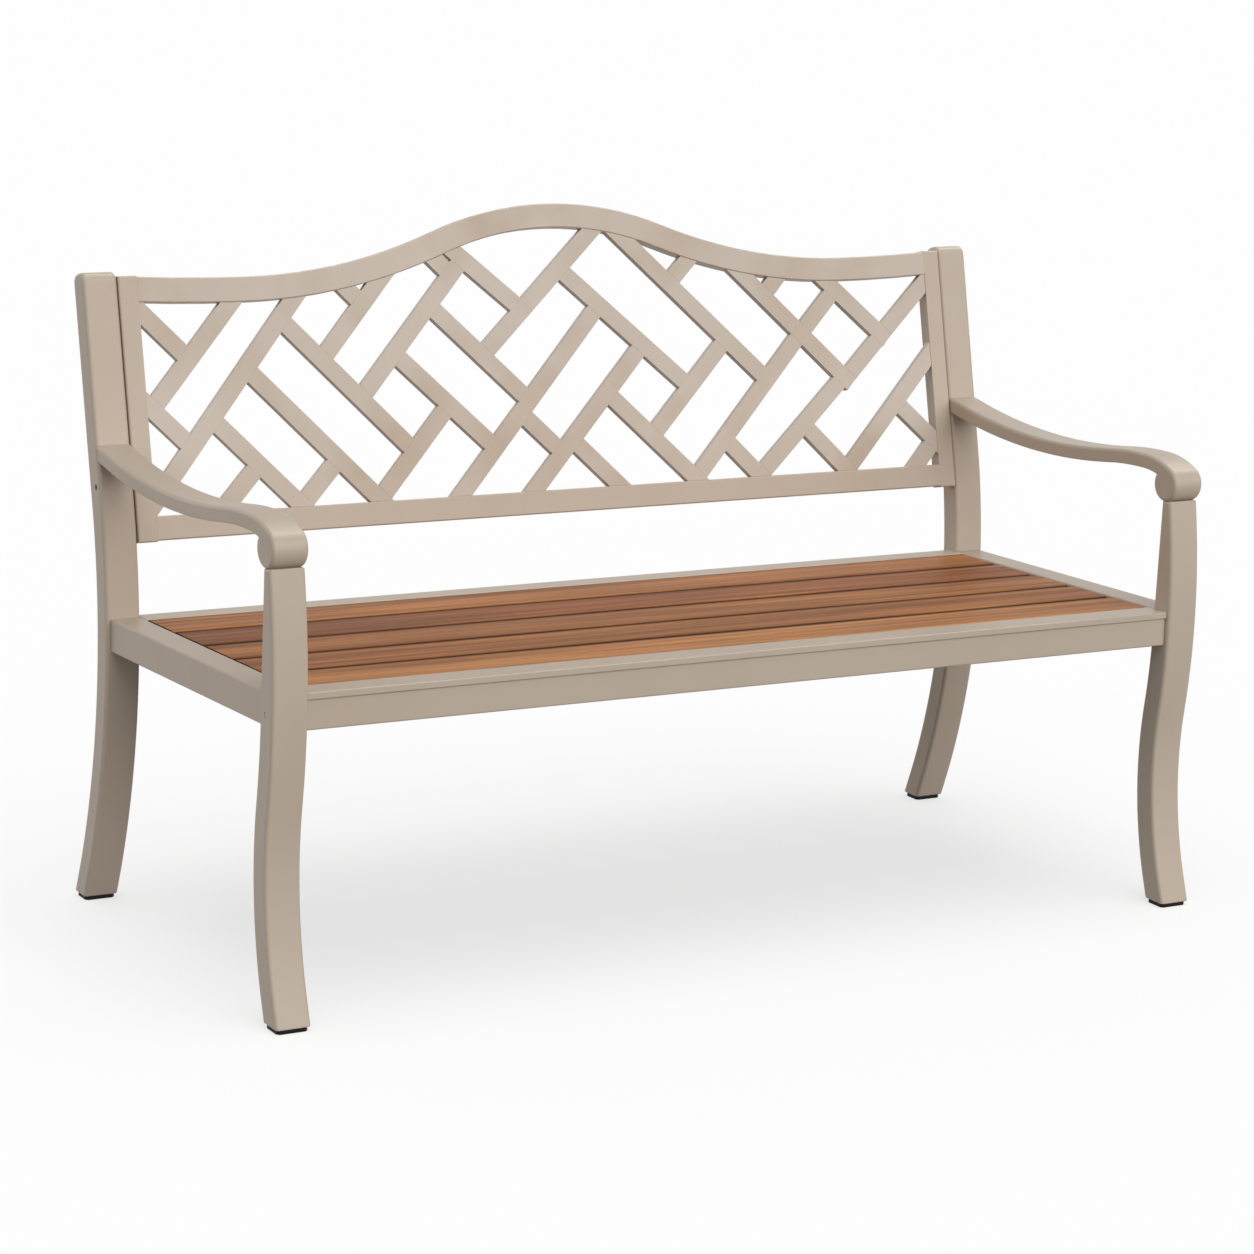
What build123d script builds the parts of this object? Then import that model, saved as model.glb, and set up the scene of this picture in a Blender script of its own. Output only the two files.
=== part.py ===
from build123d import *
import os
from math import atan2, cos, degrees, radians, sin, sqrt

# A garden bench: curved metal legs, arms that end in scrolls, a camelback back filled with a
# lattice of flat bars, and a seat of wooden slats. Sizes are in millimetres. X runs along the
# bench, Y from front to back and Z up. The origin ends up on the floor under the middle.

# Whole bench
LENGTH = 1466.0             # over the outer faces of the legs
LEG_WIDTH = 50.0            # of legs, posts and arms, along the bench
LEG_EDGE = 3.0              # bevel along the edges of legs and posts
FOOT_STRAIGHT = 30.0        # height of the straight run at the foot of each leg

# Foot glides
GLIDE_HEIGHT = 6.0
GLIDE_INSET = 3.0           # from the edge of the foot
GLIDE_CORNER = 4.0
GLIDE_PLUG_INSET = 8.0      # from the edge of the foot
GLIDE_PLUG_LENGTH = 12.0

# Back legs, which run up into the raked posts
BACK_KNEE_Y = 261.0         # back edge where the leg stands upright
BACK_KNEE_HEIGHT = 350.0
BACK_LEG_RADIUS = 920.0     # of the back edge
BACK_LEG_DEPTH = 35.0
BACK_RAKE = 13.9            # degrees
POST_HEIGHT = 875.0
POST_TOP_RADIUS = 13.0

# Front legs
FRONT_BULGE_Y = -297.0      # front edge where it stands furthest forward above the foot
FRONT_BULGE_HEIGHT = 400.0
FRONT_BULGE_RADIUS = 950.0
FRONT_WAIST_HEIGHT = 220.0
FRONT_FOOT_RADIUS = 530.0
FRONT_LEG_DEPTH = 38.0
SCROLL_BED = 2.0            # how far the leg rises round the underside of the scroll

# Arms
ARM_HEIGHT = 650.0          # top of the crest behind the scroll
ARM_THICKNESS = 21.0
ARM_CREST_BACK = 84.0       # from the front leg's bulge to the crest
ARM_DIP_BACK = 347.0        # from the front leg's bulge to the lowest point
ARM_DIP = 20.5
ARM_DIP_RADIUS = 1140.0
ARM_EDGE = 3.0              # bevel along the top edges and round the scroll
ARM_STRAIGHT = 30.0         # run into the post
SCROLL_RADIUS = 25.0
SCROLL_BACK = 35.0          # from the front leg's bulge to the middle of the scroll
SCROLL_DROP = 36.0          # from the crest to the middle of the scroll

# Seat frame, on a plane that falls towards the back
SEAT_HEIGHT = 433.0         # at the front edge
SEAT_SLOPE = 1.73           # degrees
SEAT_DEPTH = 537.0
SEAT_FRONT_BACK = 6.0       # from the front leg's bulge to the front edge of the seat
FRONT_RAIL_WIDTH = 43.0
FRONT_RAIL_HEIGHT = 49.4
LIP_HEIGHT = 9.4
LIP_OVERHANG = 3.0
BACK_RAIL_WIDTH = 34.0
BACK_RAIL_HEIGHT = 45.0
SIDE_RAIL_HEIGHT = 45.0
SIDE_RAIL_INSET = 6.0       # from the outer face of the legs
RAIL_EDGE_RADIUS = 2.5
LIP_EDGE_RADIUS = 1.5

# Seat slats and what carries them
SLAT_COUNT = 5
SLAT_THICKNESS = 20.0
SLAT_GAP = 11.0
SLAT_EDGE_GAP = 2.0         # to the front and back rails
SLAT_END_GAP = 3.0
SLAT_DROP = 0.5             # below the top of the rails
SLAT_EDGE_RADIUS = 3.0
SUPPORT_WIDTH = 30.0
SUPPORT_THICKNESS = 5.0
SUPPORT_INSET = 83.0        # from a leg's inner face to the middle of the outer support bars
SCREW_RADIUS = 2.0
SCREW_BITE = 12.0           # into the slat
SCREW_HEAD_RADIUS = 4.0
SCREW_HEAD_HEIGHT = 2.5
SCREW_HEAD_SIDES = 6

# Back panel, on a plane that lies along the posts
PANEL_BOTTOM_HEIGHT = 520.0
PANEL_PROUD = 1.0           # in front of the posts
PANEL_GAP = 1.0             # between stile and post
PANEL_THICKNESS = 20.0
STILE_WIDTH = 28.0
STILE_DROP = 1.5            # below the bottom rail
STILE_RISE = 1.5            # above the ends of the top rail
BOTTOM_RAIL_DEPTH = 33.5
TOP_RAIL_DEPTH = 35.0
TOP_RAIL_DIP = 357.0        # upper edge at its lowest, above the bottom of the panel
TOP_RAIL_TAIL_LENGTH = 159.0  # from the stile to the lowest point
TOP_RAIL_CROWN = 92.0       # rise from the dip to the middle
TOP_RAIL_CROWN_RADIUS = 520.0
TOP_RAIL_TAIL_RISE = 4.5    # from the lowest point to the stile
PANEL_EDGE = 1.5

# Lattice of flat bars, drawn on squared paper that fills the space between the stiles, up to
# the ends of the top rail
SQUARE_COUNT_ACROSS = 132
SQUARE_COUNT_UP = 30
BAR_WIDTH = 25.5
BAR_THICKNESS = 11.0
BAR_SETBACK = 1.0           # behind the front of the panel frame

# The two ends of each bar's middle line, in squares from the middle of the bench and up from
# the bottom rail. A bar that butts on another ends on that bar's middle line, and a bar that
# butts on the frame runs a little way past its edge.
RISING_BARS = [
    ((-65.1, 15.0), (-49.5, 32.4)),
    ((-68.5, -1.2), (-40.5, 32.0)),
    ((-57.4, -1.5), (-49.7, 6.4)),
    ((-38.7, 20.8), (-26.4, 34.5)),
    ((-33.0, 15.0), (-15.0, 34.7)),
    ((-31.2, 0.3), (-19.0, 13.4)),
    ((-19.6, -1.5), (7.2, 27.2)),
    ((-13.0, 20.3), (9.2, 40.5)),
    ((-7.5, -1.5), (14.2, 21.0)),
    ((14.7, 7.1), (28.7, 21.1)),
    ((21.7, 0.3), (42.3, 21.6)),
    ((33.1, 0.1), (49.6, 14.6)),
    ((49.0, 0.1), (67.4, 18.9)),
    ((57.2, 20.9), (67.2, 30.0)),
]
FALLING_BARS = [
    ((-67.2, 30.0), (-59.2, 21.8)),
    ((-67.2, 16.9), (-59.7, 9.3)),
    ((-56.4, 13.2), (-42.0, -1.5)),
    ((-50.6, 20.1), (-29.5, -1.5)),
    ((-44.8, 27.0), (-25.1, 6.9)),
    ((-27.2, 21.3), (-11.9, 6.7)),
    ((-21.0, 28.1), (-5.7, 13.4)),
    ((-18.5, 37.7), (-5.6, 26.7)),
    ((1.0, 32.7), (21.9, 14.2)),
    ((1.0, 7.3), (10.0, -1.5)),
    ((7.5, 14.0), (23.6, -1.5)),
    ((8.3, 40.7), (35.7, 14.7)),
    ((30.5, 33.0), (50.93, 13.37)),
    ((41.6, 7.6), (50.5, -1.5)),
    ((45.5, 31.5), (58.13, 19.97)),
    ((59.0, 10.2), (67.4, 2.2)),
]
SHORT_BARS = [
    ((-43.6, 0.1), (-37.3, 6.5)),
    ((-35.2, 32.2), (-31.7, 28.6)),
    ((-20.8, 36.1), (-17.1, 32.4)),
    ((-7.3, 11.7), (-0.8, 5.4)),
    ((19.4, 29.9), (24.5, 34.8)),
    ((27.3, 6.1), (34.7, -1.5)),
    ((36.1, 27.6), (39.6, 31.2)),
    ((42.4, 21.6), (49.1, 28.2)),
    ((50.0, 14.3), (57.2, 20.9)),
    ((60.4, -1.5), (65.6, 3.9)),
]

# Bolts and dowels, all along X
SHANK_SIDES = 8             # shanks and dowels never show, so they are drawn with flat sides
BOLT_RADIUS = 3.0
BOLT_HEAD_RADIUS = 4.2
BOLT_HEAD_HEIGHT = 4.0
BOLT_BITE = 20.0            # into the rail or stile
BOLT_CLEARANCE = 0.2
SEAT_BOLT_BACK = 15.0       # from the front edge of the seat
SEAT_BOLT_DROP = 27.0       # below the top of the seat
SEAT_BOLT_RECESS = 0.5
BACK_BOLT_UP = 78.0         # above the bottom of the panel
BACK_BOLT_DEEP = 14.0       # behind the front of the panel
BACK_BOLT_RECESS = 6.0
DOWEL_RADIUS = 4.0
DOWEL_LENGTH = 40.0
DOWEL_UP = 330.0            # above the bottom of the panel

# Sizes worked out from those above
HALF_LENGTH = LENGTH / 2
LEG_INNER_X = HALF_LENGTH - LEG_WIDTH
LEG_MIDDLE_X = HALF_LENGTH - LEG_WIDTH / 2
RAKE_UP = Vector(sin(radians(BACK_RAKE)), cos(radians(BACK_RAKE)))
RAKE_FRONT = Vector(-cos(radians(BACK_RAKE)), sin(radians(BACK_RAKE)))
STILE_INNER_X = LEG_INNER_X - PANEL_GAP - STILE_WIDTH
SCROLL_CENTRE = Vector(FRONT_BULGE_Y + SCROLL_BACK, ARM_HEIGHT - SCROLL_DROP)
SEAT_INNER_DEPTH = SEAT_DEPTH - FRONT_RAIL_WIDTH - BACK_RAIL_WIDTH
SLAT_WIDTH = (SEAT_INNER_DEPTH - 2 * SLAT_EDGE_GAP - (SLAT_COUNT - 1) * SLAT_GAP) / SLAT_COUNT
SLAT_LENGTH = 2 * (LEG_INNER_X - SLAT_END_GAP)
SUPPORT_REACH = LEG_INNER_X - SUPPORT_INSET
SUPPORT_PLACES = {"left": -SUPPORT_REACH, "middle": 0, "right": SUPPORT_REACH}

SIDES = {"left": -1, "right": 1}


def arc_about(centre, start, end):
    """The shorter arc round a centre from one point to another."""
    radius = (start - centre).length
    middle = ((start - centre) + (end - centre)).normalized()
    return ThreePointArc(start, centre + middle * radius, end)


def at_height(centre, radius, side, height):
    """The point of a circle in the side view at a height, on its front (-1) or back (1)."""
    return Vector(centre.X + side * sqrt(radius ** 2 - (height - centre.Y) ** 2), height)


def foot_run(centre, front_radius, back_radius, side):
    """The start and end of a foot's straight front and back edges, below two arcs round a centre."""
    start = at_height(centre, (front_radius + back_radius) / 2, side, FOOT_STRAIGHT)
    outward = (start - centre).normalized()
    down = Vector(outward.Y, -outward.X) * side
    edges = []
    for radius in (front_radius, back_radius):
        top = centre + outward * radius
        bottom = top + down * ((GLIDE_HEIGHT - top.Y) / down.Y)
        edges.append((top, bottom))
    return edges


def side_solid(outline, width):
    """A solid from an outline in the side view, with its middle at X = 0."""
    return extrude(Plane.YZ * make_face(outline), width / 2, both=True)


def side_edges(solid):
    """The edges round the two flat sides of a solid made by side_solid, above the foot."""
    edges = solid.faces().filter_by(Axis.X).edges()
    return edges.filter_by(lambda edge: edge.center().Z > GLIDE_HEIGHT + LEG_EDGE)


def along_x(section, start_x, end_x, y, z):
    """A bar of a given section along X."""
    along = Plane((start_x, y, z), z_dir=(1, 0, 0))
    return along * extrude(section, end_x - start_x)


def shank_section(radius):
    return RegularPolygon(radius, SHANK_SIDES)


# Back legs

BACK_CENTRE = Vector(BACK_KNEE_Y + BACK_LEG_RADIUS, BACK_KNEE_HEIGHT)
BACK_FRONT_RADIUS = BACK_LEG_RADIUS + BACK_LEG_DEPTH
POST_BACK_START = BACK_CENTRE + RAKE_FRONT * BACK_LEG_RADIUS
POST_FRONT_START = BACK_CENTRE + RAKE_FRONT * BACK_FRONT_RADIUS
POST_MIDDLE_START = (POST_BACK_START + POST_FRONT_START) / 2
POST_LENGTH = (POST_HEIGHT - POST_MIDDLE_START.Y) / RAKE_UP.Y
BACK_FOOT = foot_run(BACK_CENTRE, BACK_FRONT_RADIUS, BACK_LEG_RADIUS, -1)


def back_leg_block():
    """A back leg before its edges are rounded."""
    front, back = BACK_FOOT
    top_back = POST_BACK_START + RAKE_UP * POST_LENGTH
    top_front = POST_FRONT_START + RAKE_UP * POST_LENGTH
    outline = [
        Line(*back),
        arc_about(BACK_CENTRE, back[0], POST_BACK_START),
        Line(POST_BACK_START, top_back),
        Line(top_back, top_front),
        Line(top_front, POST_FRONT_START),
        arc_about(BACK_CENTRE, POST_FRONT_START, front[0]),
        Line(*front),
        Line(front[1], back[1]),
    ]
    return side_solid(outline, LEG_WIDTH)


def back_leg():
    leg = back_leg_block()
    top_edges = leg.edges().filter_by(Axis.X).sort_by(Axis.Z)[-2:]
    leg = fillet(top_edges, POST_TOP_RADIUS)
    return chamfer(side_edges(leg), LEG_EDGE)


def post_point(along, deep):
    """A point on the post line: how far up it from the bottom of the panel, and how far behind."""
    start = (PANEL_BOTTOM_HEIGHT - POST_FRONT_START.Y) / RAKE_UP.Y
    return POST_FRONT_START + RAKE_UP * (start + along) - RAKE_FRONT * deep


# Front legs

FRONT_CENTRE = Vector(FRONT_BULGE_Y + FRONT_BULGE_RADIUS, FRONT_BULGE_HEIGHT)
FRONT_REACH = FRONT_BULGE_RADIUS + FRONT_FOOT_RADIUS
FRONT_RISE = FRONT_BULGE_HEIGHT - FRONT_WAIST_HEIGHT
FOOT_CENTRE = FRONT_CENTRE - Vector(sqrt(FRONT_REACH ** 2 - FRONT_RISE ** 2), FRONT_RISE)
FOOT_BACK_RADIUS = FRONT_FOOT_RADIUS + FRONT_LEG_DEPTH
FRONT_FOOT = foot_run(FOOT_CENTRE, FRONT_FOOT_RADIUS, FOOT_BACK_RADIUS, 1)
FRONT_LEG_TOP = SCROLL_CENTRE.Y - SCROLL_RADIUS + SCROLL_BED


def front_leg_block():
    """A front leg before its edges are rounded: two tangent arcs in front, a flat upper back."""
    turn = (FRONT_CENTRE - FOOT_CENTRE).normalized()
    turn_front = FOOT_CENTRE + turn * FRONT_FOOT_RADIUS
    turn_back = FOOT_CENTRE + turn * FOOT_BACK_RADIUS
    front, back = FRONT_FOOT
    top_front = at_height(FRONT_CENTRE, FRONT_BULGE_RADIUS, -1, FRONT_LEG_TOP)
    bulge_back = Vector(FRONT_BULGE_Y + FRONT_LEG_DEPTH, FRONT_BULGE_HEIGHT)
    top_back = Vector(bulge_back.X, FRONT_LEG_TOP)
    outline = [
        Line(*front),
        arc_about(FOOT_CENTRE, front[0], turn_front),
        arc_about(FRONT_CENTRE, turn_front, top_front),
        Line(top_front, top_back),
        Line(top_back, bulge_back),
        arc_about(FRONT_CENTRE, bulge_back, turn_back),
        arc_about(FOOT_CENTRE, turn_back, back[0]),
        Line(*back),
        Line(front[1], back[1]),
    ]
    return side_solid(outline, LEG_WIDTH)


def front_leg():
    leg = front_leg_block()
    leg = chamfer(side_edges(leg), LEG_EDGE)
    scroll = along_x(Circle(SCROLL_RADIUS), -LEG_WIDTH, LEG_WIDTH, SCROLL_CENTRE.X, SCROLL_CENTRE.Y)
    return leg - scroll


# Arms

def armrest():
    """A band that dips, rises to a crest and rolls over into the scroll."""
    crest = Vector(FRONT_BULGE_Y + ARM_CREST_BACK, ARM_HEIGHT)
    dip = Vector(FRONT_BULGE_Y + ARM_DIP_BACK, ARM_HEIGHT - ARM_DIP)
    run = dip.X - crest.X
    reach = (run ** 2 + ARM_DIP ** 2) / (2 * ARM_DIP)
    crest_radius = reach - ARM_DIP_RADIUS
    dip_centre = dip + Vector(0, ARM_DIP_RADIUS)
    crest_centre = crest - Vector(0, crest_radius)
    turn = (dip_centre - crest_centre).normalized()

    ahead = crest.X - SCROLL_CENTRE.X
    roll_square = ahead ** 2 + SCROLL_DROP ** 2 - SCROLL_RADIUS ** 2
    roll_radius = roll_square / (2 * (SCROLL_DROP - SCROLL_RADIUS))
    roll_centre = crest - Vector(0, roll_radius)
    roll = (SCROLL_CENTRE - roll_centre).normalized()

    post_y = POST_MIDDLE_START.X + (ARM_HEIGHT - POST_MIDDLE_START.Y) * RAKE_UP.X / RAKE_UP.Y
    straight_y = post_y - BACK_LEG_DEPTH / 2 - ARM_STRAIGHT
    straight_height = dip_centre.Y - sqrt(ARM_DIP_RADIUS ** 2 - (straight_y - dip.X) ** 2)
    outward = (Vector(straight_y, straight_height) - dip_centre).normalized()
    straight = Vector(-outward.Y, outward.X) * (post_y - straight_y)

    def band_edge(below):
        """The stations of the band's upper edge, or of one that runs below it."""
        return [
            dip_centre + outward * (ARM_DIP_RADIUS + below),
            crest_centre + turn * (crest_radius - below),
            crest - Vector(0, below),
            roll_centre + roll * (roll_radius - below),
        ]

    def long_side(below):
        """The band's upper edge, or one that runs below it, from the post to the scroll."""
        stations = band_edge(below)
        return [
            Line(stations[0] + straight, stations[0]),
            arc_about(dip_centre, stations[0], stations[1]),
            arc_about(crest_centre, stations[1], stations[2]),
            arc_about(roll_centre, stations[2], stations[3]),
        ]

    upper = long_side(0)
    lower = long_side(ARM_THICKNESS)
    ends = [Line(upper[0] @ 0, lower[0] @ 0), Line(upper[-1] @ 1, lower[-1] @ 1)]
    band = make_face(upper + lower + ends)
    profile = band + Pos(SCROLL_CENTRE.X, SCROLL_CENTRE.Y) * Circle(SCROLL_RADIUS)
    arm = extrude(Plane.YZ * profile, LEG_WIDTH / 2, both=True)

    def on_top(edge):
        """Whether an edge runs along the top of the band or round the scroll."""
        middle = Vector(edge.center().Y, edge.center().Z)
        return min(line.distance_to(middle) for line in lower + ends) > ARM_EDGE / 2

    arm = chamfer(side_edges(arm).filter_by(on_top), ARM_EDGE)
    return arm - back_leg_block()


# Seat

SEAT_PLANE = Plane(
    (0, FRONT_BULGE_Y + SEAT_FRONT_BACK, SEAT_HEIGHT),
    x_dir=(1, 0, 0),
    z_dir=(0, sin(radians(SEAT_SLOPE)), cos(radians(SEAT_SLOPE))),
)


def rail_along(profile, length):
    """A rail along X from a profile drawn front to back and upwards, with its middle at X = 0."""
    return SEAT_PLANE.location * extrude(Plane.YZ * profile, length / 2, both=True)


def front_rail():
    apron_top = -LIP_HEIGHT
    bottom = -FRONT_RAIL_HEIGHT
    points = [
        (0, 0),
        (FRONT_RAIL_WIDTH, 0),
        (FRONT_RAIL_WIDTH, bottom),
        (LIP_OVERHANG, bottom),
        (LIP_OVERHANG, apron_top),
        (0, apron_top),
    ]
    profile = make_face(Polyline(*points, close=True))
    lip = profile.vertices().filter_by(lambda corner: corner.X < LIP_OVERHANG / 2)
    profile = fillet(lip, LIP_EDGE_RADIUS)
    foot = profile.vertices().filter_by(lambda corner: corner.Y < bottom / 2)
    profile = fillet(foot, RAIL_EDGE_RADIUS)
    return rail_along(profile, 2 * LEG_INNER_X)


def back_rail():
    middle = Pos(SEAT_DEPTH - BACK_RAIL_WIDTH / 2, -BACK_RAIL_HEIGHT / 2)
    profile = middle * RectangleRounded(BACK_RAIL_WIDTH, BACK_RAIL_HEIGHT, RAIL_EDGE_RADIUS)
    return rail_along(profile, 2 * LEG_INNER_X)


def side_rail():
    """A rail from front leg to back leg, with its inner face flush with the legs' inner faces."""
    width = LEG_WIDTH - SIDE_RAIL_INSET
    section = RectangleRounded(width, SIDE_RAIL_HEIGHT, RAIL_EDGE_RADIUS)
    middle = Plane((-SIDE_RAIL_INSET / 2, 0, -SIDE_RAIL_HEIGHT / 2), x_dir=(1, 0, 0), z_dir=(0, 1, 0))
    rail = SEAT_PLANE.location * extrude(middle * section, SEAT_DEPTH)
    return rail - front_leg_block() - back_leg_block()


def seat_spot(across, back, up):
    """A place on the seat plane."""
    return SEAT_PLANE.location * Pos(across, back, up)


def slat_middle(index):
    """How far the middle of a slat lies behind the front edge of the seat."""
    return FRONT_RAIL_WIDTH + SLAT_EDGE_GAP + SLAT_WIDTH / 2 + index * (SLAT_WIDTH + SLAT_GAP)


def screw_spots(index):
    """Where the screws of a slat start, on top of the support bars."""
    under = -SLAT_DROP - SLAT_THICKNESS
    return [seat_spot(across, slat_middle(index), under) for across in SUPPORT_PLACES.values()]


def slat_screw():
    shank = extrude(shank_section(SCREW_RADIUS), SUPPORT_THICKNESS + SCREW_BITE)
    head = extrude(RegularPolygon(SCREW_HEAD_RADIUS, SCREW_HEAD_SIDES), -SCREW_HEAD_HEIGHT)
    return Pos(0, 0, -SUPPORT_THICKNESS) * (shank + head)


def seat_slat(index):
    slat = Box(SLAT_LENGTH, SLAT_WIDTH, SLAT_THICKNESS)
    slat = fillet(slat.edges().filter_by(Axis.X).group_by(Axis.Z)[-1], SLAT_EDGE_RADIUS)
    slat = seat_spot(0, slat_middle(index), -SLAT_DROP - SLAT_THICKNESS / 2) * slat
    for spot in screw_spots(index):
        slat -= spot * slat_screw()
    return slat


def seat_support(across):
    middle = FRONT_RAIL_WIDTH + SEAT_INNER_DEPTH / 2
    under = -SLAT_DROP - SLAT_THICKNESS - SUPPORT_THICKNESS / 2
    support = seat_spot(across, middle, under) * Box(SUPPORT_WIDTH, SEAT_INNER_DEPTH, SUPPORT_THICKNESS)
    for index in range(SLAT_COUNT):
        for spot in screw_spots(index):
            support -= spot * slat_screw()
    return support


# Back panel

PANEL_START = post_point(0, -PANEL_PROUD)
PANEL_PLANE = Plane(
    (0, PANEL_START.X, PANEL_START.Y),
    x_dir=(1, 0, 0),
    z_dir=(0, RAKE_FRONT.X, RAKE_FRONT.Y),
)
CROWN_TOP = TOP_RAIL_DIP + TOP_RAIL_CROWN


def on_panel(face, thickness, setback):
    """A solid of a given thickness from a face drawn on the panel, set back from its front."""
    return Pos(0, 0, -setback) * extrude(face, -thickness)


def soften_front(solid):
    """Bevel the front edges of a solid made by on_panel, apart from those where stile meets rail."""
    def is_free(edge):
        off_joint = abs(abs(edge.center().X) - STILE_INNER_X)
        return max(off_joint, edge.bounding_box().size.X) > PANEL_EDGE

    edges = solid.faces().sort_by(Axis.Z)[-1].edges().filter_by(is_free)
    return chamfer(edges, PANEL_EDGE)


def camelback(below):
    """The arcs of the top rail's upper edge, or of one that runs below it, from left to right."""
    tail = TOP_RAIL_TAIL_LENGTH
    across = STILE_INNER_X - tail
    reach = (across ** 2 + TOP_RAIL_CROWN ** 2) / (2 * TOP_RAIL_CROWN)
    sweep_radius = reach - TOP_RAIL_CROWN_RADIUS
    tail_radius = (tail ** 2 + TOP_RAIL_TAIL_RISE ** 2) / (2 * TOP_RAIL_TAIL_RISE)
    crown_centre = Vector(0, CROWN_TOP - TOP_RAIL_CROWN_RADIUS)
    arcs = []
    for side in (-1, 1):
        sweep_centre = Vector(side * across, TOP_RAIL_DIP + sweep_radius)
        tail_centre = Vector(side * across, TOP_RAIL_DIP + tail_radius)
        turn = (sweep_centre - crown_centre).normalized()
        shoulder = crown_centre + turn * (TOP_RAIL_CROWN_RADIUS - below)
        dip = Vector(side * across, TOP_RAIL_DIP - below)
        end_drop = sqrt((tail_radius + below) ** 2 - tail ** 2)
        end = Vector(side * STILE_INNER_X, tail_centre.Y - end_drop)
        arcs.append(arc_about(tail_centre, end, dip))
        arcs.append(arc_about(sweep_centre, dip, shoulder))
        arcs.append(arc_about(crown_centre, shoulder, Vector(0, CROWN_TOP - below)))
    ends = [arcs[0] @ 0, arcs[3] @ 0]
    return arcs, ends


def top_rail_face():
    upper, upper_ends = camelback(0)
    lower, lower_ends = camelback(TOP_RAIL_DEPTH)
    ends = [Line(upper_ends[side], lower_ends[side]) for side in (0, 1)]
    return make_face(upper + lower + ends)


def opening_face():
    """The space that the lattice fills, inside the stiles and rails."""
    arcs, ends = camelback(TOP_RAIL_DEPTH)
    left = Vector(-STILE_INNER_X, BOTTOM_RAIL_DEPTH)
    right = Vector(STILE_INNER_X, BOTTOM_RAIL_DEPTH)
    return make_face(arcs + [Line(ends[0], left), Line(left, right), Line(right, ends[1])])


def stile(side):
    height = TOP_RAIL_DIP + TOP_RAIL_TAIL_RISE + STILE_RISE + STILE_DROP
    middle = Pos(side * (STILE_INNER_X + STILE_WIDTH / 2), height / 2 - STILE_DROP)
    post = on_panel(middle * Rectangle(STILE_WIDTH, height), PANEL_THICKNESS, 0)
    return soften_front(post)


def bottom_rail():
    face = Pos(0, BOTTOM_RAIL_DEPTH / 2) * Rectangle(2 * STILE_INNER_X, BOTTOM_RAIL_DEPTH)
    return soften_front(on_panel(face, PANEL_THICKNESS, 0))


def top_rail():
    return soften_front(on_panel(top_rail_face(), PANEL_THICKNESS, 0))


# Lattice

SIDE_HEIGHT = (camelback(TOP_RAIL_DEPTH)[1][1]).Y - BOTTOM_RAIL_DEPTH
SQUARE_WIDTH = 2 * STILE_INNER_X / SQUARE_COUNT_ACROSS
SQUARE_HEIGHT = SIDE_HEIGHT / SQUARE_COUNT_UP


def bar_ends(squares):
    """The two ends of a bar's middle line on the panel."""
    return [Vector(across * SQUARE_WIDTH, BOTTOM_RAIL_DEPTH + up * SQUARE_HEIGHT) for across, up in squares]


def bar_strip(squares):
    """The strip that a bar would cover if it were cut square at both ends."""
    start, end = bar_ends(squares)
    run = end - start
    middle = (start + end) / 2
    turn = degrees(atan2(run.Y, run.X))
    return Pos(middle.X, middle.Y) * Rot(0, 0, turn) * Rectangle(run.length, BAR_WIDTH)


def butts_on(squares, other):
    """Whether an end of a bar lies on the middle line of another."""
    line = Line(*bar_ends(other))
    return any(line.distance_to(end) < BAR_WIDTH / 4 for end in bar_ends(squares))


def lattice_bar(squares):
    """A bar fitted between the frame and the bars that it butts on, flush with them."""
    face = bar_strip(squares) & opening_face()
    for other in RISING_BARS + FALLING_BARS + SHORT_BARS:
        if other != squares and butts_on(squares, other):
            face -= bar_strip(other)
    return PANEL_PLANE.location * on_panel(face, BAR_THICKNESS, BAR_SETBACK)


# Bolts and dowels

SEAT_BOLT_SPOT = seat_spot(0, SEAT_BOLT_BACK, -SEAT_BOLT_DROP).position
BACK_BOLT_SPOT = post_point(BACK_BOLT_UP, BACK_BOLT_DEEP - PANEL_PROUD)
DOWEL_SPOT = post_point(DOWEL_UP, BACK_BOLT_DEEP - PANEL_PROUD)


def bolt(side, y, z, recess, clearance):
    """A bolt from the outer face of a leg into the piece inside it, or the hole for one."""
    outer = HALF_LENGTH - recess
    inner = LEG_INNER_X - BOLT_BITE
    neck = outer - BOLT_HEAD_HEIGHT
    head_end = HALF_LENGTH if clearance else outer
    shank = along_x(shank_section(BOLT_RADIUS + clearance), side * inner, side * neck, y, z)
    head = along_x(Circle(BOLT_HEAD_RADIUS + clearance), side * neck, side * head_end, y, z)
    return shank + head


def seat_bolt(side, clearance):
    return bolt(side, SEAT_BOLT_SPOT.Y, SEAT_BOLT_SPOT.Z, SEAT_BOLT_RECESS, clearance)


def back_bolt(side, clearance):
    return bolt(side, BACK_BOLT_SPOT.X, BACK_BOLT_SPOT.Y, BACK_BOLT_RECESS, clearance)


def back_dowel(side):
    start = LEG_INNER_X - DOWEL_LENGTH / 2
    end = start + DOWEL_LENGTH
    return along_x(shank_section(DOWEL_RADIUS), side * start, side * end, DOWEL_SPOT.X, DOWEL_SPOT.Y)


# Foot glides

def glide(x, foot):
    """A glide under a foot, with a plug that is pressed into the leg."""
    front = foot[0][1].X
    back = foot[1][1].X

    def block(inset, height):
        return extrude(Rectangle(LEG_WIDTH - 2 * inset, back - front - 2 * inset), height)

    pad = block(GLIDE_INSET, GLIDE_HEIGHT)
    pad = chamfer(pad.edges().filter_by(Axis.Z), GLIDE_CORNER)
    plug = block(GLIDE_PLUG_INSET, GLIDE_HEIGHT + GLIDE_PLUG_LENGTH)
    return Pos(x, (front + back) / 2) * (pad + plug)


# All the pieces by name

nodes = {}
groups = {"foot_glides": [], "seat_bolts": [], "back_bolts": [], "back_dowels": [], "slat_screws": []}
nodes["front_rail"] = front_rail()
nodes["back_rail"] = back_rail()

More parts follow.
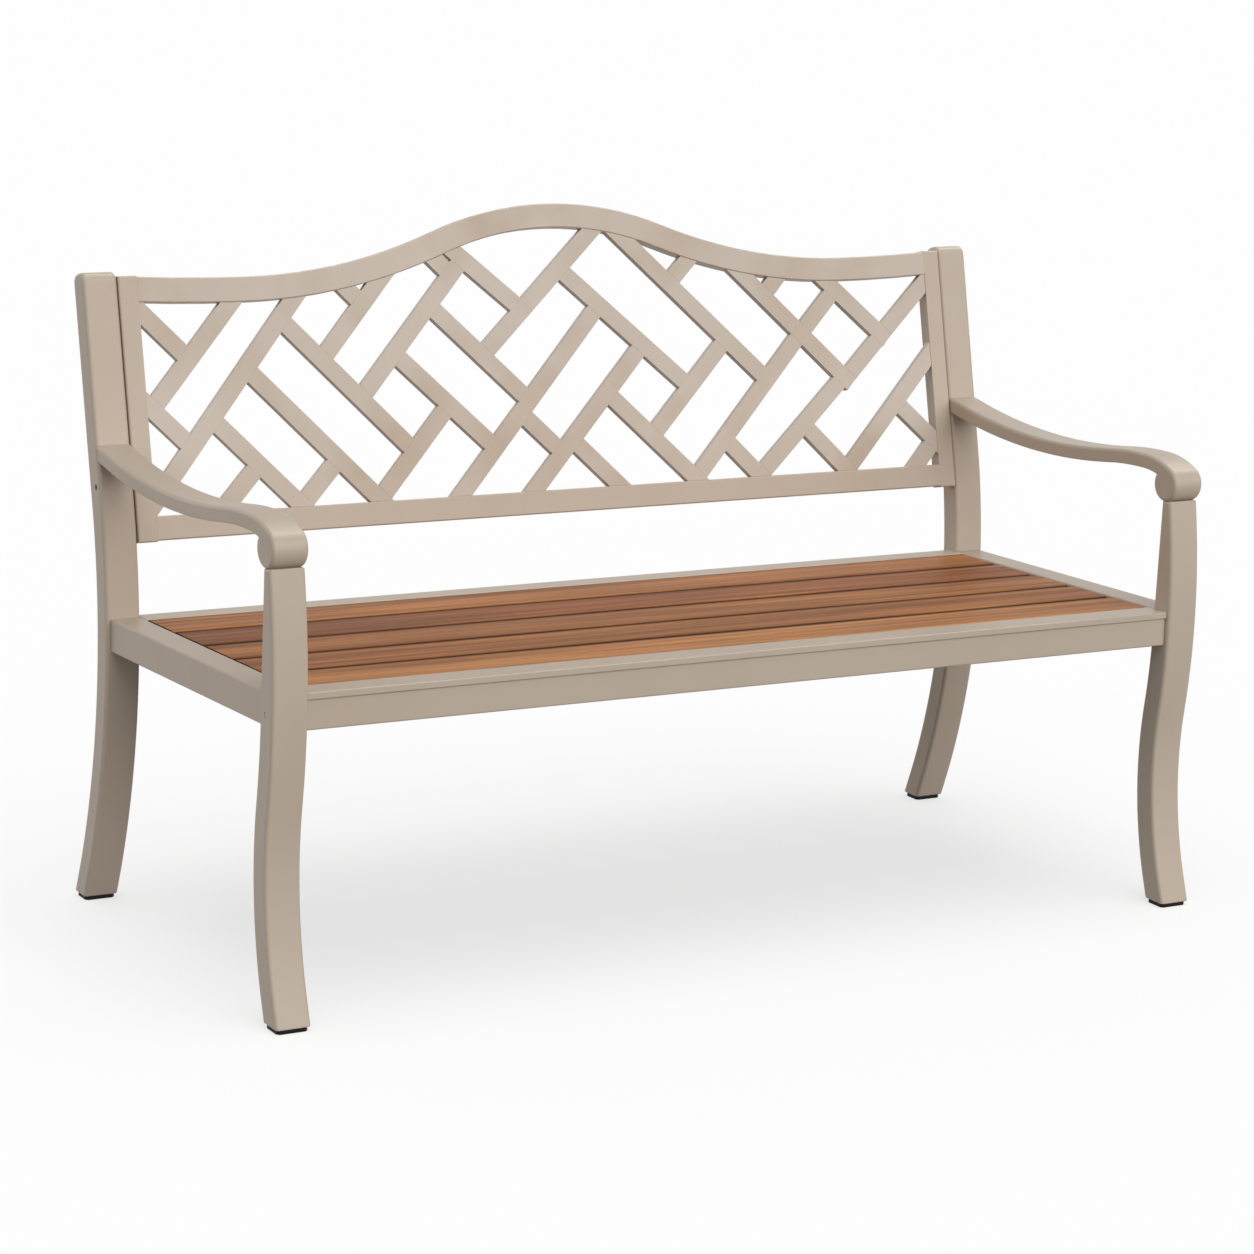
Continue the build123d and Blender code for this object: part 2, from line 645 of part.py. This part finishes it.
for name, side in SIDES.items():
    x = side * LEG_MIDDLE_X
    seat_bolt_hole = seat_bolt(side, BOLT_CLEARANCE)
    back_bolt_hole = back_bolt(side, BOLT_CLEARANCE)
    dowel = back_dowel(side)
    glides = [glide(x, FRONT_FOOT), glide(x, BACK_FOOT)]

    nodes[f"{name}_front_leg"] = Pos(x, 0, 0) * front_leg() - seat_bolt_hole - glides[0]
    nodes[f"{name}_back_leg"] = Pos(x, 0, 0) * back_leg() - back_bolt_hole - dowel - glides[1]
    nodes[f"{name}_armrest"] = Pos(x, 0, 0) * armrest()
    rail = side_rail() if side > 0 else mirror(side_rail(), Plane.YZ)
    nodes[f"{name}_side_rail"] = Pos(x, 0, 0) * rail
    nodes[f"{name}_back_stile"] = PANEL_PLANE.location * stile(side) - back_bolt_hole - dowel
    nodes["front_rail"] -= seat_bolt_hole

    groups["foot_glides"] += glides
    groups["seat_bolts"].append(seat_bolt(side, 0))
    groups["back_bolts"].append(back_bolt(side, 0))
    groups["back_dowels"].append(dowel)

for index in range(SLAT_COUNT):
    nodes[f"seat_slat_{index + 1}"] = seat_slat(index)
    groups["slat_screws"] += [spot * slat_screw() for spot in screw_spots(index)]

for name, across in SUPPORT_PLACES.items():
    nodes[f"seat_support_{name}"] = seat_support(across)

nodes["back_top_rail"] = PANEL_PLANE.location * top_rail()
nodes["back_bottom_rail"] = PANEL_PLANE.location * bottom_rail()

for index, squares in enumerate(RISING_BARS):
    nodes[f"lattice_rise_{index + 1:02d}"] = lattice_bar(squares)
for index, squares in enumerate(FALLING_BARS):
    nodes[f"lattice_fall_{index + 1:02d}"] = lattice_bar(squares)
groups["lattice_short_bars"] = [lattice_bar(squares) for squares in SHORT_BARS]

for name, pieces in groups.items():
    nodes[name] = Compound([solid for piece in pieces for solid in piece.solids()])

# Move everything so that the origin is on the floor under the middle, then write the files

solids = [solid for node in nodes.values() for solid in node.solids()]
middle_y = Compound(solids).bounding_box().center().Y
os.makedirs("parts", exist_ok=True)
for name, node in nodes.items():
    node = Pos(0, -middle_y, 0) * node
    node.label = name
    export_step(node, f"parts/{name}.step")
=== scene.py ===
import bmesh
import bpy
from math import radians
from mathutils import Euler, Matrix, Vector


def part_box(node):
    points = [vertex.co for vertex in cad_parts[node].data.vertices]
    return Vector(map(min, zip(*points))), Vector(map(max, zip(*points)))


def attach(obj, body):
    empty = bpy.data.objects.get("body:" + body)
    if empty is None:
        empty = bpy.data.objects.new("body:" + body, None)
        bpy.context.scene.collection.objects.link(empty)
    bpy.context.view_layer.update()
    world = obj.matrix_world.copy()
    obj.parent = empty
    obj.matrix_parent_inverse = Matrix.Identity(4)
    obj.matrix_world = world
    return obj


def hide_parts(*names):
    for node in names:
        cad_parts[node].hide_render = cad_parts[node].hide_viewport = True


# The looks of a garden bench: a satin powder coat on the metal frame, oiled hardwood slats, black
# plastic glides and plain steel fasteners, on a white floor in soft light. Sizes and depths are in
# metres, and the waves of a pattern are counted to the metre, along X, Y and Z.

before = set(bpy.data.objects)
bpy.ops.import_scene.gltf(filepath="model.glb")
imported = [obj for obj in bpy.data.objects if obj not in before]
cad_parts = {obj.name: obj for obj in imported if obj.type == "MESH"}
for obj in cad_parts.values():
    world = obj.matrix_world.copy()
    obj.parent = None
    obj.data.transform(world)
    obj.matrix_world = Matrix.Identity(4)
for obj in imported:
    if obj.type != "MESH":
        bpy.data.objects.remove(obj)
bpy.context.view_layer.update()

# Pieces that are finished alike
PANEL_PIECES = ("back_bottom_rail", "left_back_stile", "right_back_stile")
PLATED_PIECES = ("back_dowels", "slat_screws")
HOLE_PIECES = ("seat_bolts", "back_bolts", "back_dowels")

# Colours as they look on a screen, from 0 to 255
PAINT = (190, 174, 156)
PAINT_WARM = (181, 160, 138)
PAINT_PALE = (203, 191, 178)
PAINTED_EDGE_HIGHLIGHT = (222, 213, 203)    # painted highlight along the outer edges, and the coat worn thin there
PLASTIC = (15, 14, 14)
PLASTIC_WORN = (26, 25, 24)
STEEL = (128, 122, 114)
STEEL_DULL = (92, 87, 81)
BLACK_STEEL = (58, 54, 50)
BLACK_STEEL_DULL = (40, 37, 34)
WOOD_PORE = (84, 50, 30)
WOOD_PAINTED_SHADE = (50, 27, 13)         # painted shade, down in the gaps between the slats and along their back edges
WHITE = (253, 253, 253)
FLOOR_MATT = (130, 130, 130)
FLOOR_DIM = (104, 104, 104)     # the floor as the underside of the bench sees it

# The slats from front to back: the tone of the early wood, of the late wood, where along the tree
# each board was cut, and how dark the painted shade line along its back edge is
SLAT_TONES = [
    ((209, 145, 87), (159, 100, 54), 1.7, 1.0),
    ((188, 124, 70), (134, 79, 40), 5.2, 0.7),
    ((190, 126, 72), (138, 84, 44), 9.4, 1.0),
    ((174, 109, 60), (122, 68, 33), 14.9, 0.85),
    ((196, 130, 74), (147, 89, 46), 21.3, 0.5),
]

# Ranges of a value, the last two of them of noise
RISING = (0.0, 1.0)
FALLING = (1.0, 0.0)
NOISE_SPREAD = (0.35, 0.65)
WIDE_SPREAD = (0.3, 0.7)

# Powder coat: pale clouds, warm clouds, a fine stipple and a painted highlight on the outer edges
PALE_WAVES = (5, 5, 5)
PALE_START = (3, 7, 1)          # so that the pale clouds lie apart from the warm ones
WARM_WAVES = (7, 7, 7)
WARM_SPREAD = (0.48, 0.72)
STIPPLE_WAVES = (1400, 1400, 1400)
STIPPLE_DEPTH = 0.00004
PAINT_ROUGHNESS = (0.36, 0.46)
PAINT_SHINE = 0.35
EDGE_REACH = 0.0016
EDGE_TURN = (0.99, 0.9)         # cosines of the turn where an edge starts to pale and is palest
EDGE_SKY_REACH = 0.0064
EDGE_SKY = (0.85, 0.95)         # shares of open sky that tell an outer edge from an inner corner
EDGE_SHARE = 0.5
EDGE_SAMPLES = 6

# How warm the clouds are on the frame and on the back panel, and how pale, at least and at most. The back
# panel is paler throughout, which is partly a painted sheen.
FRAME_WARMTH = 0.2
FRAME_PALENESS = (0.0, 0.15)
PANEL_WARMTH = 0.7
PANEL_PALENESS_AND_SHEEN = (0.35, 0.8)

# Wood: broad bands, streaks, fibres, pores and clouds, all drawn out along X. Shades are what the
# colour is multiplied by, from darkest to palest.
BAND_WAVES = (1.1, 46, 46)
BAND_SPREAD = (0.36, 0.64)
BAND_WANDER = 0.4
STREAK_WAVES = (3, 120, 120)
STREAK_START = 4
STREAK_SHADES = (0.8, 1.16)
FIBRE_WAVES = (5, 380, 380)
FIBRE_SHADES = (0.84, 1.12)
FIBRE_DEPTH = 0.00008
PORE_WAVES = (26, 1300, 1300)
PORE_PEAKS = (0.64, 0.76)       # the noise that shows as dark pores
PORE_SHARE = 0.6
PORE_PITS = (0.6, 0.75)         # the noise that dents the surface
PORE_DEPTH = 0.00012
CLOUD_WAVES = (2.2, 9, 9)
CLOUD_START = 2
CLOUD_SHADES = (0.9, 1.08)
GRAIN_ROUGHNESS = 0.6           # of the noise in bands, streaks and fibres
WOOD_ROUGHNESS = (0.45, 0.6)
WOOD_SHINE = 0.12

# Painted shade: what darkens the gaps between the slats, and the line along each slat's back edge
GAP_REACH = 0.03
GAP_SKY = (0.5, 0.85)           # shares of open sky at which the wood is darkest and clear
GAP_SAMPLES = 8
LINE_REACH = 0.011              # from the back edge to where the line starts
LINE_FULL = 0.003               # from the back edge to where it is darkest

# Moulded plastic with a fine grain and scuffs, and steel with dull patches
MOULD_WAVES = (1800, 1800, 1800)
MOULD_DEPTH = 0.00003
SCUFF_WAVES = (160, 160, 160)
SCUFF_SPREAD = (0.5, 0.75)
PLASTIC_ROUGHNESS = (0.45, 0.7)
PLASTIC_SHINE = 0.15
PATCH_WAVES = (240, 240, 240)
PATCH_SPREAD = (0.4, 0.7)
STEEL_ROUGHNESS = (0.32, 0.5)

# Rounding of edges
METAL_ROUND = 0.0019
PANEL_ROUND = 0.0004            # small, so that the welded joints of the back hardly show
WOOD_ROUND = 0.0006
SMALL_ROUND = 0.0003
ROUND_STEPS = 3
ROUND_PROFILE = 0.5             # a circle's
SHARP_TURN = radians(18)
FLAT_TURN = radians(0.6)
SAME_POINT = 0.00002
HOLE_REACH = 0.0065             # edges this near to the middle of a bolt or dowel are on its hole
LEG_TOP = 0.006                 # the part of a front leg that beds the scroll of the arm

# Light: a pale sky all round, broad lamps that light only the bench, one behind it that gives no
# sheen, one that shows only as a sheen, and one overhead that lights only the floor. Each lamp has a
# level, a turn in degrees to the left of the front, a height in degrees and a spread in degrees.
SKY_LEVEL = 0.4
BENCH_LAMPS = {
    "front_lamp": (0.99, 0, 34, 40),
    "right_lamp": (0.88, -30, 22, 40),
    "left_lamp": (0.37, 80, 28, 40),
}
BACK_LAMPS = {"back_lamp": (1.1, 165, 12, 40)}
SHEEN_LAMPS = {"sheen_lamp": (1.5, -114, 57, 30)}
FLOOR_LAMPS = {"floor_lamp": (2.72, 0, 80, 55)}
FLOOR_SPAN = 120.0
FLOOR_GLOW = 0.72               # the part of the floor's white that shadows leave alone

# Camera, which looks from the front left and a little down
CAMERA_PLACE = (-2.7152, -4.4249, 1.5831)
CAMERA_TURN = 31.219            # degrees to the right of straight back
CAMERA_DIP = 12.888             # degrees below level
CAMERA_ROLL = 2.647             # degrees
CAMERA_LENS = 108.24            # millimetres, on a sensor as below
CAMERA_SENSOR = 36.0


# Finishes

def linear(colour):
    """A screen colour in the linear values that shaders take, with full opacity."""
    shares = [value / 255 for value in colour]
    return [s / 12.92 if s <= 0.04045 else ((s + 0.055) / 1.055) ** 2.4 for s in shares] + [1]


class Finish:
    """A material with one principled shader, and short calls for the nodes in front of it."""

    def __init__(self, name):
        self.material = bpy.data.materials.new(name)
        self.material.use_nodes = True
        self.tree = self.material.node_tree
        self.shader = self.tree.nodes["Principled BSDF"]
        self.place = self.add("ShaderNodeTexCoord").outputs["Object"]

    def add(self, kind, inputs=None, **settings):
        """A new node, with its inputs by socket and its settings by name."""
        node = self.tree.nodes.new(kind)
        for setting, value in settings.items():
            setattr(node, setting, value)
        for socket, value in (inputs or {}).items():
            self.put(node.inputs[socket], value)
        return node

    def put(self, socket, value):
        """Link a socket to another one, or set its own value."""
        if isinstance(value, bpy.types.NodeSocket):
            self.tree.links.new(value, socket)
        else:
            socket.default_value = value

    def set(self, socket, value):
        """Link or set a socket of the shader."""
        self.put(self.shader.inputs[socket], value)

    def noise(self, waves, start=(0, 0, 0), detail=2.0, roughness=0.5, distortion=0.0):
        """Noise in the bench's own space, with its waves to the metre along X, Y and Z."""
        spot = self.add("ShaderNodeMapping", {"Vector": self.place, "Location": start, "Scale": waves})
        inputs = {
            "Vector": spot.outputs["Vector"],
            "Scale": 1.0,
            "Detail": detail,
            "Roughness": roughness,
            "Distortion": distortion,
        }
        return self.add("ShaderNodeTexNoise", inputs).outputs["Fac"]

    def range(self, value, old, new=RISING):
        """Stretch a value from one range to another, and stop at the ends."""
        inputs = {
            "Value": value,
            "From Min": old[0],
            "From Max": old[1],
            "To Min": new[0],
            "To Max": new[1],
        }
        return self.add("ShaderNodeMapRange", inputs).outputs["Result"]

    def mix(self, share, first, second, blend="MIX"):
        """A colour between two others, or one blended with the other."""
        node = self.add("ShaderNodeMix", data_type="RGBA", blend_type=blend)
        colours = [socket for socket in node.inputs if socket.type == "RGBA"]
        self.put(node.inputs["Factor"], share)
        self.put(colours[0], first)
        self.put(colours[1], second)
        return next(socket for socket in node.outputs if socket.type == "RGBA")

    def open_sky(self, reach, samples):
        """The share of the sky that nothing hides within a reach."""
        node = self.add("ShaderNodeAmbientOcclusion", {"Distance": reach}, samples=samples)
        return node.outputs["AO"]

    def bump(self, height, depth, under=None):
        """Relief of a depth, on top of another one if it is given."""
        inputs = {"Height": height, "Distance": depth, "Strength": 1.0}
        if under:
            inputs["Normal"] = under
        return self.add("ShaderNodeBump", inputs).outputs["Normal"]


def painted_edge_highlights(finish):
    """How much painted highlight the outer edges get: none on flat faces and in inner corners."""
    face = finish.add("ShaderNodeNewGeometry").outputs["Normal"]
    rounded = finish.add("ShaderNodeBevel", {"Radius": EDGE_REACH}, samples=EDGE_SAMPLES).outputs["Normal"]
    turn = finish.add("ShaderNodeVectorMath", {0: face, 1: rounded}, operation="DOT_PRODUCT")
    edge = finish.range(turn.outputs["Value"], EDGE_TURN, (0.0, EDGE_SHARE))
    outer = finish.range(finish.open_sky(EDGE_SKY_REACH, EDGE_SAMPLES), EDGE_SKY)
    return finish.add("ShaderNodeMath", {0: edge, 1: outer}, operation="MULTIPLY").outputs[0]


def paint_finish(name, warmth, paleness):
    """A satin powder coat: faint clouds of tone, a fine stipple, and a painted highlight along the edges.
    """
    finish = Finish(name)
    pale = finish.range(finish.noise(PALE_WAVES, start=PALE_START), NOISE_SPREAD, paleness)
    colour = finish.mix(pale, linear(PAINT), linear(PAINT_PALE))
    warm = finish.range(finish.noise(WARM_WAVES, detail=3), WARM_SPREAD, (0.0, warmth))
    colour = finish.mix(warm, colour, linear(PAINT_WARM))
    # the outer edges get a painted highlight
    finish.set("Base Color", finish.mix(painted_edge_highlights(finish), colour, linear(PAINTED_EDGE_HIGHLIGHT)))
    stipple = finish.noise(STIPPLE_WAVES)
    finish.set("Roughness", finish.range(stipple, WIDE_SPREAD, PAINT_ROUGHNESS))
    finish.set("Specular IOR Level", PAINT_SHINE)
    finish.set("Normal", finish.bump(stipple, STIPPLE_DEPTH))
    return finish.material


def wood_finish(name, back, early, late, start, shade_line_share):
    """Oiled hardwood with the grain along X: broad bands, streaks, fibres and short dark pores.

    The back edge of the board, at Y = back, has a painted shade line, and painted shade darkens the gaps."""
    finish = Finish(name)
    grain = {"roughness": GRAIN_ROUGHNESS}
    bands = finish.noise(BAND_WAVES, start=(start, start, 0), detail=5, distortion=BAND_WANDER, **grain)
    streaks = finish.noise(STREAK_WAVES, start=(start, STREAK_START, start), detail=3, **grain)
    fibres = finish.noise(FIBRE_WAVES, start=(start, 0, start), detail=3, **grain)
    pores = finish.noise(PORE_WAVES, start=(0, start, start), detail=1)
    clouds = finish.noise(CLOUD_WAVES, start=(start, CLOUD_START, start))
    colour = finish.mix(finish.range(bands, BAND_SPREAD), linear(early), linear(late))
    for pattern, shades in ((streaks, STREAK_SHADES), (fibres, FIBRE_SHADES), (clouds, CLOUD_SHADES)):
        colour = finish.mix(1.0, colour, finish.range(pattern, NOISE_SPREAD, shades), "MULTIPLY")
    dark_pores = finish.range(pores, PORE_PEAKS, (0.0, PORE_SHARE))
    colour = finish.mix(dark_pores, colour, linear(WOOD_PORE))
    # a painted shade line along the back edge of the board
    across = finish.add("ShaderNodeSeparateXYZ", {0: finish.place}).outputs["Y"]
    line = finish.range(across, (back - LINE_REACH, back - LINE_FULL), (0.0, shade_line_share))
    colour = finish.mix(line, colour, linear(WOOD_PAINTED_SHADE))
    # painted shade in the gaps, where little open sky reaches
    gap = finish.range(finish.open_sky(GAP_REACH, GAP_SAMPLES), GAP_SKY, FALLING)
    finish.set("Base Color", finish.mix(gap, colour, linear(WOOD_PAINTED_SHADE)))
    finish.set("Roughness", finish.range(fibres, WIDE_SPREAD, WOOD_ROUGHNESS))
    finish.set("Specular IOR Level", WOOD_SHINE)
    relief = finish.bump(fibres, FIBRE_DEPTH)
    finish.set("Normal", finish.bump(finish.range(pores, PORE_PITS, FALLING), PORE_DEPTH, relief))
    return finish.material


def plastic_finish():
    """Black moulded plastic, scuffed in places."""
    finish = Finish("glide_plastic_moulded")
    scuffs = finish.range(finish.noise(SCUFF_WAVES, detail=4), SCUFF_SPREAD)
    finish.set("Base Color", finish.mix(scuffs, linear(PLASTIC), linear(PLASTIC_WORN)))
    finish.set("Roughness", finish.range(scuffs, RISING, PLASTIC_ROUGHNESS))
    finish.set("Specular IOR Level", PLASTIC_SHINE)
    finish.set("Normal", finish.bump(finish.noise(MOULD_WAVES), MOULD_DEPTH))
    return finish.material


def steel_finish(name, colour, dull_colour):
    """Plated or blackened steel that has gone dull in patches."""
    finish = Finish(name)
    patches = finish.range(finish.noise(PATCH_WAVES, detail=4), PATCH_SPREAD)
    finish.set("Base Color", finish.mix(patches, linear(colour), linear(dull_colour)))
    finish.set("Metallic", 1.0)
    finish.set("Roughness", finish.range(patches, RISING, STEEL_ROUGHNESS))
    return finish.material


# Pieces

def even_shading(piece):
    """Let the flat faces of a piece shade flat, up to the rounding beside them."""
    normals = piece.modifiers.new("even_shading", "WEIGHTED_NORMAL")
    normals.keep_sharp = True


def round_edges(piece, width):
    """Close the seams of a piece, join its flat faces and round its sharp edges."""
    weld = piece.modifiers.new("close_seams", "WELD")
    weld.merge_threshold = SAME_POINT
    flat = piece.modifiers.new("join_flats", "DECIMATE")
    flat.decimate_type = "DISSOLVE"
    flat.angle_limit = FLAT_TURN
    bevel = piece.modifiers.new("round_edges", "BEVEL")
    bevel.width = width
    bevel.segments = ROUND_STEPS
    bevel.limit_method = "ANGLE"
    bevel.angle_limit = SHARP_TURN
    bevel.use_clamp_overlap = False
    even_shading(piece)


def dress(piece, material, width):
    """Give a piece its finish, and round its edges."""
    piece.data.materials.clear()
    piece.data.materials.append(material)
    round_edges(piece, width)


def hole_middles():
    """Where the bolts and dowels lie in Y and Z: all of them run along X."""
    return [sum(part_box(name), Vector()).yz / 2 for name in HOLE_PIECES]


def rounded_copy(name, width, holes):
    """A copy of a frame piece with its outer edges rounded, apart from hole rims and scroll beds."""
    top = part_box(name)[1].z - (LEG_TOP if name.endswith("front_leg") else 0)
    work = bmesh.new()
    work.from_mesh(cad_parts[name].data)
    bmesh.ops.remove_doubles(work, verts=work.verts, dist=SAME_POINT)
    bmesh.ops.dissolve_limit(work, angle_limit=FLAT_TURN, verts=work.verts, edges=work.edges)
    sharp = []
    for edge in work.edges:
        middle = (edge.verts[0].co + edge.verts[1].co) / 2
        outward = edge.is_convex and edge.calc_face_angle(0) > SHARP_TURN
        on_hole = any((middle.yz - hole).length < HOLE_REACH for hole in holes)
        if outward and middle.z <= top and not on_hole:
            sharp.append(edge)
    shape = {"segments": ROUND_STEPS, "profile": ROUND_PROFILE, "affect": "EDGES"}
    bmesh.ops.bevel(work, geom=sharp, offset=width, **shape)
    piece = bpy.data.objects.new(name + "_rounded", bpy.data.meshes.new(name + "_rounded"))
    work.to_mesh(piece.data)
    work.free()
    bpy.context.scene.collection.objects.link(piece)
    even_shading(piece)
    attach(piece, "root")
    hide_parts(name)
    return piece


frame_paint = paint_finish("frame_paint_coat", FRAME_WARMTH, FRAME_PALENESS)
# the back panel's paler coat is partly a painted sheen
panel_paint_and_sheen = paint_finish("panel_paint_and_sheen_coat", PANEL_WARMTH, PANEL_PALENESS_AND_SHEEN)
plastic = plastic_finish()
plated_steel = steel_finish("fastener_steel_plated", STEEL, STEEL_DULL)
black_steel = steel_finish("fastener_steel_blackened", BLACK_STEEL, BLACK_STEEL_DULL)
holes = hole_middles()
bench = []

for name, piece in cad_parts.items():
    if name.startswith("seat_slat_"):
        number = int(name.rsplit("_", 1)[1])
        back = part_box(name)[1].y
        dress(piece, wood_finish(f"slat_wood_{number}", back, *SLAT_TONES[number - 1]), WOOD_ROUND)
    elif name == "foot_glides":
        dress(piece, plastic, SMALL_ROUND)
    elif name in PLATED_PIECES:
        dress(piece, plated_steel, SMALL_ROUND)
    elif name == "back_bolts":
        dress(piece, black_steel, SMALL_ROUND)
    elif name == "seat_bolts" or name.startswith("seat_support_"):
        dress(piece, frame_paint, SMALL_ROUND)
    elif name == "back_top_rail" or name.startswith("lattice_"):
        dress(piece, panel_paint_and_sheen, PANEL_ROUND)
    elif name in PANEL_PIECES:
        dress(piece, frame_paint, PANEL_ROUND)
    else:
        piece = rounded_copy(name, METAL_ROUND, holes)
        piece.data.materials.append(frame_paint)
    bench.append(piece)


# Floor, light and camera

def seen_directly(tree):
    """A value that is 1 for what the camera sees, straight or in a reflection or through glass."""
    path = tree.nodes.new("ShaderNodeLightPath")
    seen = path.outputs["Is Camera Ray"]
    for ray in ("Is Glossy Ray", "Is Transmission Ray"):
        either = tree.nodes.new("ShaderNodeMath")
        either.operation = "MAXIMUM"
        tree.links.new(seen, either.inputs[0])
        tree.links.new(path.outputs[ray], either.inputs[1])
        seen = either.outputs[0]
    return seen


def add_floor():
    """A floor that looks white, keeps its shadows, and throws little light back up."""
    bpy.ops.mesh.primitive_plane_add(size=FLOOR_SPAN)
    floor = bpy.context.object
    floor.name = "floor"
    finish = Finish("floor_white")
    finish.tree.nodes.remove(finish.shader)
    seen = seen_directly(finish.tree)
    colour = finish.mix(seen, linear(FLOOR_DIM), linear(FLOOR_MATT))
    matt = finish.add("ShaderNodeBsdfDiffuse", {"Color": colour})
    strength = finish.add("ShaderNodeMath", {0: seen, 1: FLOOR_GLOW}, operation="MULTIPLY")
    glow = finish.add("ShaderNodeEmission", {"Color": linear(WHITE), "Strength": strength.outputs[0]})
    both = finish.add("ShaderNodeAddShader", {0: matt.outputs[0], 1: glow.outputs[0]})
    finish.put(finish.tree.nodes["Material Output"].inputs["Surface"], both.outputs[0])
    floor.data.materials.append(finish.material)
    return floor


def add_sky():
    """A sky that looks white and lights the bench at its own level."""
    world = bpy.data.worlds.new("studio")
    world.use_nodes = True
    bpy.context.scene.world = world
    tree = world.node_tree
    background = tree.nodes["Background"]
    background.inputs["Color"].default_value = linear(WHITE)
    level = tree.nodes.new("ShaderNodeMapRange")
    tree.links.new(seen_directly(tree), level.inputs["Value"])
    level.inputs["To Min"].default_value = SKY_LEVEL
    tree.links.new(level.outputs["Result"], background.inputs["Strength"])


def add_lamps(lamps, receivers, group, lights=True, shines=True):
    """Lamps that light only the pieces given, though everything casts shadows in their light."""
    lit = bpy.data.collections.new(group)
    for piece in receivers:
        lit.objects.link(piece)
    for name, (level, turn, height, spread) in lamps.items():
        lamp = bpy.data.lights.new(name, "SUN")
        lamp.energy = level
        lamp.angle = radians(spread)
        holder = bpy.data.objects.new(name, lamp)
        holder.rotation_euler = Euler((radians(90 - height), 0, radians(-turn)))
        holder.light_linking.receiver_collection = lit
        holder.visible_diffuse = lights
        holder.visible_glossy = shines
        bpy.context.scene.collection.objects.link(holder)


def add_camera():
    """The camera at its place, aimed, and rolled about its own line of sight."""
    data = bpy.data.cameras.new("camera")
    data.lens = CAMERA_LENS
    data.sensor_width = CAMERA_SENSOR
    camera = bpy.data.objects.new("camera", data)
    aim = Euler((radians(90 - CAMERA_DIP), 0, radians(-CAMERA_TURN))).to_matrix().to_4x4()
    roll = Matrix.Rotation(radians(CAMERA_ROLL), 4, "Z")
    camera.matrix_world = Matrix.Translation(Vector(CAMERA_PLACE)) @ aim @ roll
    bpy.context.scene.collection.objects.link(camera)
    bpy.context.scene.camera = camera


floor = add_floor()
add_sky()
add_lamps(BENCH_LAMPS, bench, "bench")
add_lamps(BACK_LAMPS, bench, "back", shines=False)
add_lamps(SHEEN_LAMPS, bench, "sheen", lights=False)
add_lamps(FLOOR_LAMPS, [floor], "ground")
add_camera()
bpy.context.scene.view_settings.view_transform = "Standard"
